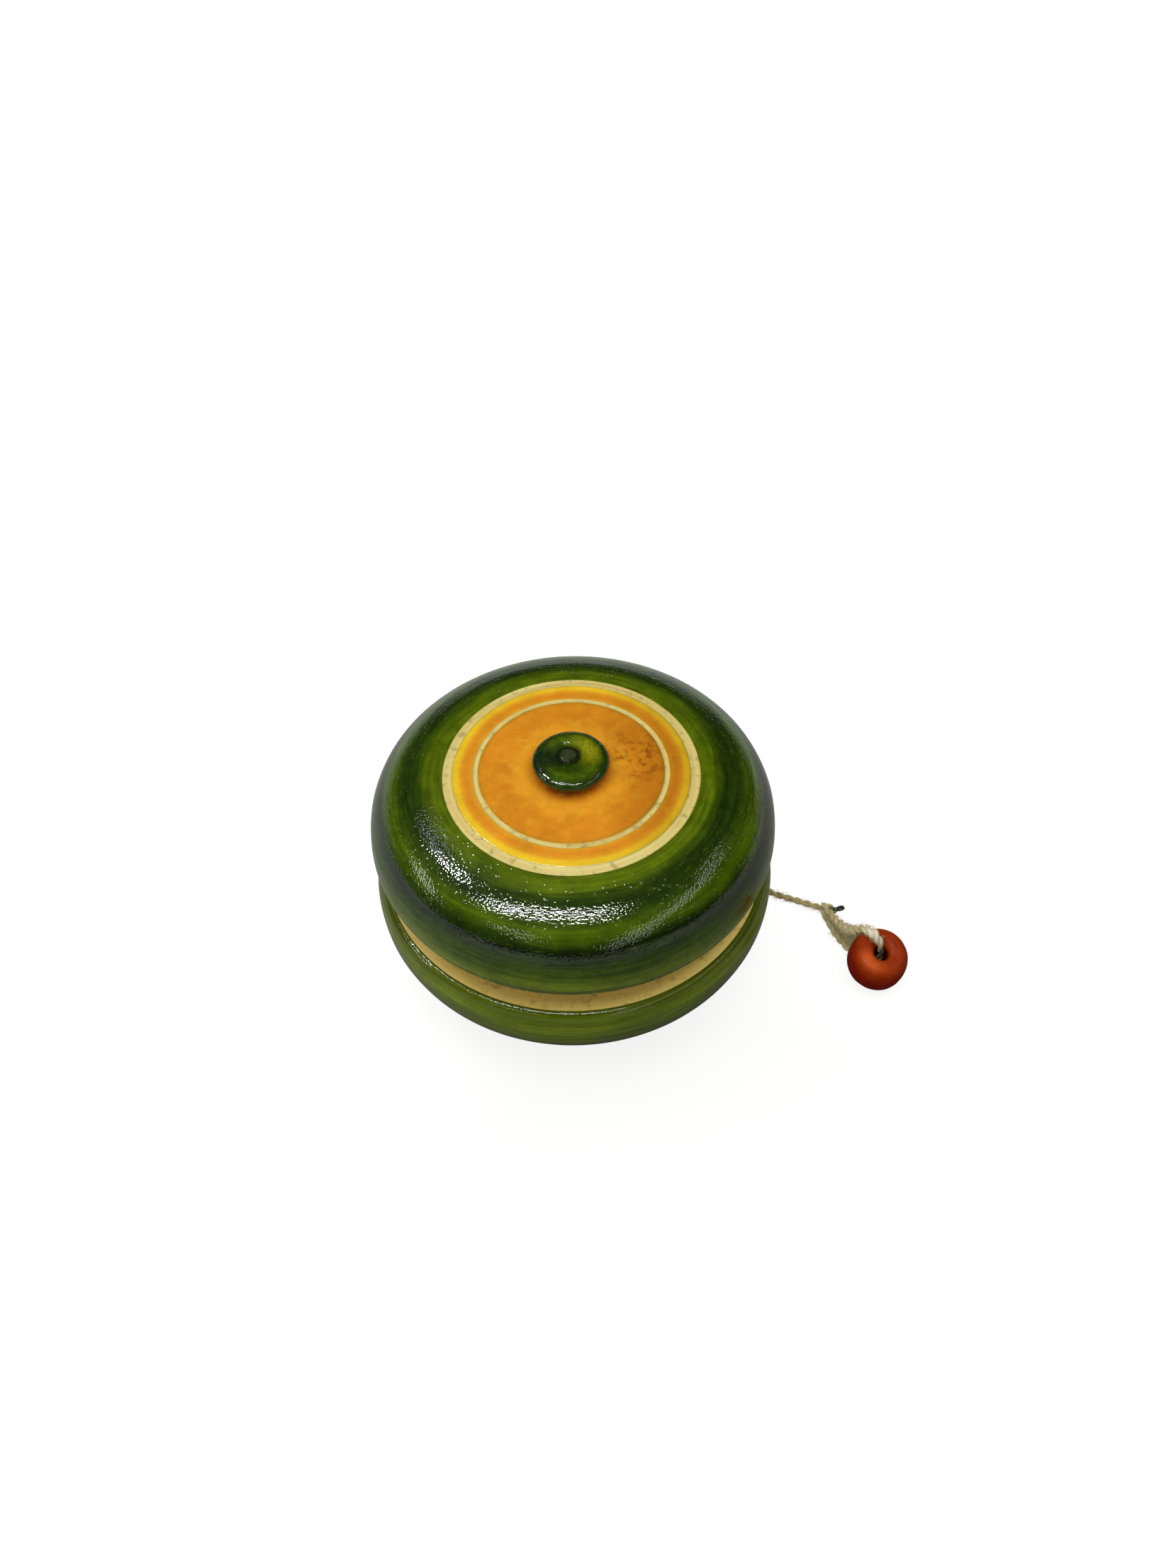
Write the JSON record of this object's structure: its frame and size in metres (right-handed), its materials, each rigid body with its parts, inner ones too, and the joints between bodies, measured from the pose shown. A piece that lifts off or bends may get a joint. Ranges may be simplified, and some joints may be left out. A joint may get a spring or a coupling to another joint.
{
  "type": "yo-yo",
  "caption": "Turned wooden yo-yo lying on one face: two lacquered halves on a dowel axle with peg buttons, a wound cotton string and a finger bead.",
  "frame": {"origin": "on the axle's line, at the flat land of the lower button, where the toy stands", "axes": "+Z along the axle, up through the upper half; +X towards the side where the string's bead lies"},
  "size_m": [0.0767, 0.057, 0.038],
  "materials": {
    "lac_wood": "glossy green lac over turned wood, with an orange centre and bare rings on each outer face and a bare inner face",
    "button_lac": "glossy green lac, dished by hand on the lathe",
    "bare_wood": "bare turned softwood",
    "cotton_string": "undyed two-ply cotton, matt",
    "dipped_string": "string end dipped in dark green lac",
    "bead_lac": "satin orange-red lac over turned wood"
  },
  "bodies": {
    "yoyo": {"upper_half": "lac_wood", "lower_half": "lac_wood", "axle": "bare_wood", "upper_button": "button_lac", "lower_button": "button_lac"},
    "string": {"string_winding": "cotton_string", "string_lead": "cotton_string", "string_knot": "cotton_string", "string_bead_loop": "cotton_string", "string_tail": "dipped_string"},
    "bead": {"bead": "bead_lac"}
  },
  "joints": [
    {"name": "string_spin", "type": "hinge", "parent": "yoyo", "child": "string", "pos_m": [0, 0, 0.019], "axis": [0, 0, 1], "continuous": true},
    {"name": "bead_spin", "type": "hinge", "parent": "string", "child": "bead", "pos_m": [0.04384, -0.01112, 0.0036], "axis": [0.139, -0.198, 0.9703], "continuous": true}
  ]
}
